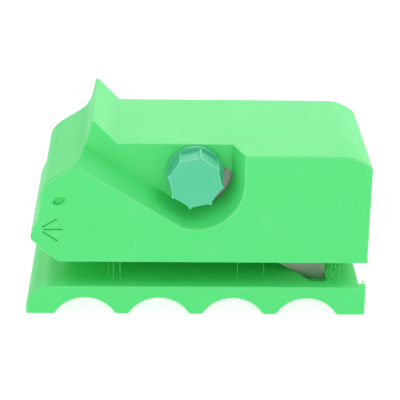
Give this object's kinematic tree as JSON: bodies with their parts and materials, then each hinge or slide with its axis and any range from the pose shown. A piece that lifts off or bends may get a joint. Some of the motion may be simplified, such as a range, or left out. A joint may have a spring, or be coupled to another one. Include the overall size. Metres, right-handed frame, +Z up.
{
  "type": "handheld strip cutter",
  "caption": "Palm-size printed strip cutter shaped like an animal head, with a finger rail, an open throat, a slanted trapezoid blade and a clamping knob.",
  "frame": {"origin": "centre of the overall box at its base, under the middle of the finger rail", "axes": "+X from the nose to the tail, +Y from the open front to the back, +Z up"},
  "size_m": [0.1, 0.05, 0.0567],
  "materials": {
    "green_print": "satin",
    "blade_steel": "brushed",
    "teal_knob": "satin",
    "screw_steel": "satin"
  },
  "bodies": {
    "frame": {"body": "green_print", "blade": "blade_steel", "nut": "screw_steel"},
    "clamp": {"washer": "screw_steel"},
    "grip": {"knob": "teal_knob", "screw": "screw_steel"}
  },
  "joints": [
    {"name": "clamp_travel", "type": "slide", "parent": "frame", "child": "clamp", "axis": [0, -1, 0], "range_m": [0, 0.0028]},
    {"name": "knob_turn", "type": "hinge", "parent": "clamp", "child": "grip", "pos_m": [-0.0007, -0.014, 0.0412], "axis": [0, -1, 0], "range_deg": [0, 1441]}
  ],
  "couplings": [
    {"joint": "knob_turn", "follows": "clamp_travel", "rad_per_m": 8976}
  ]
}
